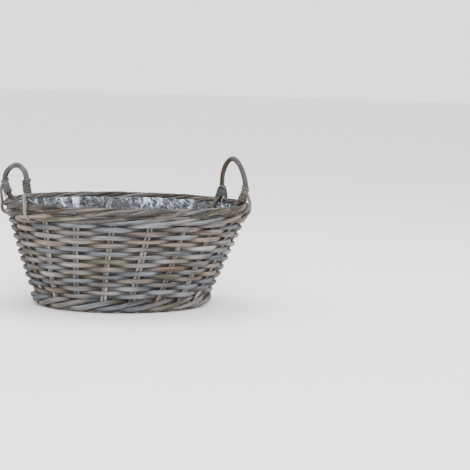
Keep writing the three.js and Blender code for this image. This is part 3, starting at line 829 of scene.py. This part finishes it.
def lay_film(context):
    """One sheet of clear film, creased and pleated where it was pushed into the basket."""
    wall = Wall(context.scene)
    low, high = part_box("film_liner")
    floor_z = low.z + 0.8 * MM
    top_z = high.z + 2.8 * MM
    rings = [(share, floor_z) for share in np.linspace(0.04, 0.9, FLOOR_RINGS)]
    rings += [(1.0, z) for z in np.linspace(floor_z + 3 * MM, top_z, WALL_RINGS)]
    t = np.linspace(0, 2 * math.pi, FILM_COLUMNS, endpoint=False)
    legs = np.array([handle.angle(wall, end) for handle in HANDLES for end in (-1, 1)])
    clear = np.min(np.abs((t[:, None] - legs + math.pi) % (2 * math.pi) - math.pi), axis=1)
    room = 0.25 + 0.75 * smoothstep(clear / 0.09 - 0.2)
    rise = [(z - floor_z) / (top_z - floor_z) for _, z in rings]
    points, crease_glints = zip(*(film_ring(wall, t, *ring, up, room) for ring, up in zip(rings, rise)))
    mesh = film_mesh(points, crease_glints)
    mesh.materials.append(film_finish(context.scene.basket_colours.film))
    film = placed("film", mesh, "clear_film", "film_liner")


# ---- Handles ----

LEG_DEPTHS = (36, 24, 13)          # mm below the rim that a handle's leg passes
LEG_INSIDE = -13.4 * MM            # place of a leg's centre, out from the stakes
HANDLE_SIDES = 20


class Handle:
    """A bow handle.

    Its legs stand half_span from the basket's middle plane and pass the foot and the head, given
    as (height, place out from the stakes). Each leg has (low end, high end, turns) of its
    winding, the front one first. The bow leans inwards to its top. Lengths are given in mm.
    """

    def __init__(self, name, side, half_span, top, roundness, foot, head, lean, windings):
        self.name, self.side, self.roundness, self.windings = name, side, roundness, windings
        self.half_span, self.top, self.lean = half_span * MM, top * MM, lean * MM
        self.foot = [value * MM for value in foot]
        self.head = [value * MM for value in head]

    def angle(self, wall, end):
        rise = math.asin(self.half_span / float(wall.oval(wall.border_height)[1]))
        return end * rise if self.side > 0 else math.pi - end * rise

    def leg(self, wall, end):
        angle = self.angle(wall, end)
        rim = wall.size.rim_height
        low = [wall.on(angle, rim - depth * MM, LEG_INSIDE)[0] for depth in LEG_DEPTHS]
        return np.array(low + [wall.beside(angle, z, out)[0] for z, out in (self.foot, self.head)])

    def bow(self, wall):
        """Centre of the rod, from the front leg over the bow to the rear leg."""
        front, rear = (self.leg(wall, end) for end in (-1, 1))
        start = front[-1]
        turn = math.pi * np.arange(1, 14) / 14
        reach = np.sign(np.cos(turn)) * np.abs(np.cos(turn)) ** (2 / self.roundness)
        climb = np.sin(turn) ** (2 / self.roundness)
        arch = np.stack([start[0] - self.side * self.lean * climb, start[1] * reach,
                         start[2] + (self.top - start[2]) * climb], axis=1)
        return through(np.vstack([front, arch, rear[::-1]]), 2.2 * MM)


HANDLES = [
    Handle("left", -1, half_span=39, top=205.7, roundness=1.8,
           foot=(160, -1.5), head=(186.5, 5.5), lean=2.5,
           windings=[(160.5, 190, 8), (161.5, 185, 7)]),
    Handle("right", 1, half_span=37, top=217.8, roundness=1.75,
           foot=(158, -4.8), head=(179, 0.2), lean=3.0,
           windings=[(153.5, 179.5, 6), (154, 174, 5)]),
]


def bend_handles(context):
    wall = Wall(context.scene)
    finish = willow_finish("handle rod", roughness=0.66, lime=0.14, relief=0.35)
    for handle in HANDLES:
        bundle = Bundle(500 + handle.side, context.scene.basket_colours)
        path = handle.bow(wall)
        outs = np.tile([float(handle.side), 0, 0], (len(path), 1))
        share = np.linspace(0, 1, len(path))
        thickness = wall.rods.handle * (1.02 - 0.09 * share)
        tones = bundle.rod(path, outs, thickness, thickness, HANDLE_MIX, patch=0.12,
                           sides=HANDLE_SIDES, shade_and_tone=0.47, edge=0.0)
        if handle.side > 0:
            brown = np.array(context.scene.basket_colours.rust[:]) * 0.6
            patch = 0.85 * smoothstep(1.2 - np.abs(share - 0.65) / 0.08)[:, None]
            bundle.tones[-1] = np.repeat(tones * (1 - patch) + brown * patch, HANDLE_SIDES, axis=0)
        bundle.piece(f"bow_{handle.name}", finish, "willow_handles", f"handle_{handle.name}")


class Tie:
    """What binds one leg of a handle: the winding round it and the tails tied to the border."""

    def __init__(self, wall, handle, end, bundle):
        self.wall, self.handle, self.end, self.bundle = wall, handle, end, bundle
        self.strand = wall.rods.binding
        self.angle = handle.angle(wall, end)
        self.foot, self.outward = wall.beside(self.angle, *handle.foot)

    def wind(self):
        """The strand wound closely round the leg."""
        rng = self.bundle.rng
        low_end, high_end, count = self.handle.windings[self.end > 0]
        leg = self.handle.bow(self.wall)
        wound = (leg[:, 2] > low_end * MM) & (leg[:, 2] < high_end * MM)
        leg = leg[(leg[:, 1] * self.end > 0) & wound]
        leg = leg[np.argsort(leg[:, 2])]
        turns = np.linspace(0, count, count * 28)
        turn = 2 * math.pi * turns - math.pi / 2 * self.end
        low, high = leg[0, 2] + self.strand / 2, leg[-1, 2] - self.strand / 2
        pitch = (high - low) / count
        rise = low + turns * pitch + by_stake(rng.normal(0, 0.3 * MM, count + 2), turns)
        centre = np.stack([np.interp(rise, leg[:, 2], leg[:, i]) for i in range(3)], axis=1)
        axis = unit(leg[-1] - leg[0])
        side = unit(np.cross(axis, self.outward))
        front = np.cross(side, axis)
        radial = side * np.cos(turn)[:, None] + front * np.sin(turn)[:, None]
        radius = self.wall.rods.handle / 2 + self.strand / 2 - 0.1 * MM
        bulge = radius + by_stake(rng.normal(0.1 * MM, 0.28 * MM, 2 * count + 2), 2 * turns)
        self.bundle.rod(centre + radial * bulge[:, None], radial, self.strand, pitch * 1.1,
                        BINDING_MIX, patch=0.16,
                        shade_and_tone=0.66 + 0.12 * sway(rng, turns / count, (4, 9, 13)))

    def tail(self, course, width, mix):
        """A strand through (height, out, drift towards the basket's middle) in mm."""
        speed = float(self.wall.speed(self.angle, self.wall.border_height))
        places = [self.wall.beside(self.angle - self.end * drift * MM / speed, z * MM, out * MM)[0]
                  for z, out, drift in course]
        self.bundle.rod(through(places, 1.5 * MM), self.outward, width * 0.8, width, mix,
                        patch=0.03, sides=10)

    def hang_outer_tail(self):
        """From the winding down outside the border, and in under the rim wale."""
        rear = self.end > 0
        z, out = self.foot[2] / MM, self.handle.foot[1] / MM
        outside = (self.wall.border_half + self.strand / 2) / MM + 0.5
        start = 15 if rear else 9
        beside = out + 6 + (self.handle.head[1] / MM - out) * start / 24
        self.tail([(z + start, beside, 0), (z + start - 3, beside + 1.4, 0.3),
                   (150, outside + 0.6, 2), (143, outside + 0.6, 2.4), (138, outside - 0.4, 2.8),
                   (134.5, outside - 4, 3.2), (133, outside - 8, 3.4)],
                  self.strand * 2.6, HANDLE_MIX if rear else TAIL_MIX)

    def tie_foot(self):
        """Short strands at the winding's foot: one goes inside, one sticks out, one crosses."""
        z, out = self.foot[2] / MM, self.handle.foot[1] / MM
        self.tail([(z + 1.5, out + 5.5, 4), (z - 1.5, out + 4, 6.5), (z - 4, out, 8.5),
                   (152.5, -8.6, 10.5), (147, -11.4, 12)], self.strand * 0.85, STAKE_MIX)
        self.tail([(z + 2, out + 5, -3), (z + 0.5, out + 6.6, -7.5), (z + 1.5, out + 7, -11.5)],
                  self.strand, BINDING_MIX)
        self.tail([(z + 2.5, out + 5.5, 5), (z - 1.5, out + 7.4, 0), (z - 3.2, out + 5, -6),
                   (153.5, 1.5, -9)], self.strand * 0.9, BINDING_MIX)


def bind_handles(context):
    wall = Wall(context.scene)
    finish = willow_finish("binding skein", lime=0.22)
    for handle, end in ((handle, end) for handle in HANDLES for end in (-1, 1)):
        name, where = handle.name, "rear" if end > 0 else "front"
        seed = 600 + 2 * (name == "right") + (end > 0)
        tie = Tie(wall, handle, end, Bundle(seed, context.scene.basket_colours))
        tie.wind()
        tie.hang_outer_tail()
        tie.tie_foot()
        tie.bundle.piece(f"tie_{name}_{where}", finish, "willow_bindings", f"binding_{name}_{where}")


# ---- Stage ----

SKY_STRENGTH = 2.0
LIT_POINT = (0, 0, 0.1)
LAMPS = [
    # name, place, size, power
    ("key", (-1.2, -2.3, 1.3), 1.2, 68),
    ("fill", (1.8, -1.2, 1.2), 1.4, 24),
    ("top", (0.1, 0.5, 2.2), 1.2, 30),
]
FLOOR_REACH = 14.0


def hang_lamp(name, place, size, power):
    data = bpy.data.lights.new(name, "AREA")
    data.shape, data.size, data.energy = "DISK", size, power
    lamp = bpy.data.objects.new(name, data)
    bpy.context.scene.collection.objects.link(lamp)
    lamp.location = place
    lamp.rotation_euler = (Vector(LIT_POINT) - Vector(place)).to_track_quat("-Z", "Y").to_euler()


def place_camera(scene):
    view = scene.basket_view
    camera = bpy.data.objects.new("camera", bpy.data.cameras.new("camera"))
    scene.collection.objects.link(camera)
    scene.camera = camera
    camera.data.lens = view.lens
    camera.data.sensor_width = 36.0
    camera.data.clip_end = 100.0
    turned = Matrix.Rotation(-view.turn, 3, "Z")
    ahead = Vector((math.sin(view.pan) * math.cos(view.tilt),
                    math.cos(view.pan) * math.cos(view.tilt), -math.sin(view.tilt)))
    across = Vector((math.cos(view.pan), -math.sin(view.pan), 0.0))
    above = across.cross(ahead)
    right = across * math.cos(view.roll) + above * math.sin(view.roll)
    up = above * math.cos(view.roll) - across * math.sin(view.roll)
    axes = Matrix((turned @ right, turned @ up, turned @ -ahead)).transposed()
    place = turned @ Vector((0.0, -view.distance, view.height))
    place.x -= scene.basket_wall.foot_setback
    camera.matrix_world = Matrix.Translation(place) @ axes.to_4x4()


def lay_floor(scene):
    mesh = bpy.data.meshes.new("floor")
    corners = [(x * FLOOR_REACH, y * FLOOR_REACH, 0) for x, y in ((-1, -1), (1, -1), (1, 1), (-1, 1))]
    mesh.from_pydata(corners, [], [(0, 1, 2, 3)])
    mesh.materials.append(floor_finish(scene.basket_colours.floor))
    floor = bpy.data.objects.new("floor", mesh)
    scene.collection.objects.link(floor)


def light_stage(scene):
    world = bpy.data.worlds.new("studio")
    scene.world = world
    world.use_nodes = True
    sky = world.node_tree.nodes["Background"]
    sky.inputs["Color"].default_value = (1.0, 1.0, 1.0, 1.0)
    sky.inputs["Strength"].default_value = SKY_STRENGTH
    for lamp in LAMPS:
        hang_lamp(*lamp)


def set_stage(context):
    place_camera(context.scene)
    lay_floor(context.scene)
    light_stage(context.scene)


# ---- Operators ----

class BASKET_OT_stage(bpy.types.Operator):
    """Places the camera, floor and lights"""
    bl_idname = "basket.stage"
    bl_label = "Set the Stage"

    def execute(self, context):
        set_stage(context)
        return {"FINISHED"}


class BASKET_OT_stakes(bpy.types.Operator):
    """Stands the stake pairs and rolls the border"""
    bl_idname = "basket.stakes"
    bl_label = "Stake and Border"

    def execute(self, context):
        weave_stakes(context)
        return {"FINISHED"}


class BASKET_OT_randing(bpy.types.Operator):
    """Weaves the rows between the wales"""
    bl_idname = "basket.randing"
    bl_label = "Weave Randing"

    def execute(self, context):
        weave_randing(context)
        return {"FINISHED"}


class BASKET_OT_foot_wale(bpy.types.Operator):
    """Weaves the thick strands at the foot"""
    bl_idname = "basket.foot_wale"
    bl_label = "Weave Foot Wale"

    def execute(self, context):
        weave_foot_wale(context)
        return {"FINISHED"}


class BASKET_OT_rim_wale(bpy.types.Operator):
    """Weaves the strands under the border"""
    bl_idname = "basket.rim_wale"
    bl_label = "Weave Rim Wale"

    def execute(self, context):
        weave_rim_wale(context)
        return {"FINISHED"}


class BASKET_OT_sticks(bpy.types.Operator):
    """Lays the crossed sticks of the base"""
    bl_idname = "basket.sticks"
    bl_label = "Lay Base Sticks"

    def execute(self, context):
        lay_sticks(context)
        return {"FINISHED"}


class BASKET_OT_base(bpy.types.Operator):
    """Twines the base round its sticks"""
    bl_idname = "basket.base"
    bl_label = "Weave Base"

    def execute(self, context):
        weave_base(context)
        return {"FINISHED"}


class BASKET_OT_film(bpy.types.Operator):
    """Lays the creased clear film inside"""
    bl_idname = "basket.film"
    bl_label = "Lay Film"

    def execute(self, context):
        lay_film(context)
        return {"FINISHED"}


class BASKET_OT_handles(bpy.types.Operator):
    """Bends the two bow handles"""
    bl_idname = "basket.handles"
    bl_label = "Bend Handles"

    def execute(self, context):
        bend_handles(context)
        return {"FINISHED"}


class BASKET_OT_bindings(bpy.types.Operator):
    """Winds and ties the feet of the handles"""
    bl_idname = "basket.bindings"
    bl_label = "Bind Handles"

    def execute(self, context):
        bind_handles(context)
        return {"FINISHED"}


OPERATORS = [
    BASKET_OT_stage, BASKET_OT_stakes, BASKET_OT_randing, BASKET_OT_foot_wale, BASKET_OT_rim_wale,
    BASKET_OT_sticks, BASKET_OT_base, BASKET_OT_film, BASKET_OT_handles, BASKET_OT_bindings,
]


class BASKET_PT_sidebar(bpy.types.Panel):
    """Lists the sizes, colours and pieces of the basket"""
    bl_label = "Willow Basket"
    bl_space_type = "VIEW_3D"
    bl_region_type = "UI"
    bl_category = "Basket"

    def draw(self, context):
        for group in (context.scene.basket_wall, context.scene.basket_rods,
                      context.scene.basket_colours, context.scene.basket_view):
            box = self.layout.box()
            for name in group.__annotations__:
                box.prop(group, name)
        for kind in OPERATORS:
            self.layout.operator(kind.bl_idname)


GROUPS = {"basket_wall": BasketWall, "basket_rods": BasketRods,
          "basket_colours": BasketColours, "basket_view": BasketView}


def register():
    for kind in (*GROUPS.values(), *OPERATORS, BASKET_PT_sidebar):
        bpy.utils.register_class(kind)
    for name, group in GROUPS.items():
        setattr(bpy.types.Scene, name, bpy.props.PointerProperty(type=group))


def unregister():
    for name in GROUPS:
        delattr(bpy.types.Scene, name)
    for kind in reversed((*GROUPS.values(), *OPERATORS, BASKET_PT_sidebar)):
        bpy.utils.unregister_class(kind)


def main():
    register()
    for kind in OPERATORS:
        getattr(bpy.ops.basket, kind.bl_idname.split(".")[1])()


if __name__ == "__main__":
    main()
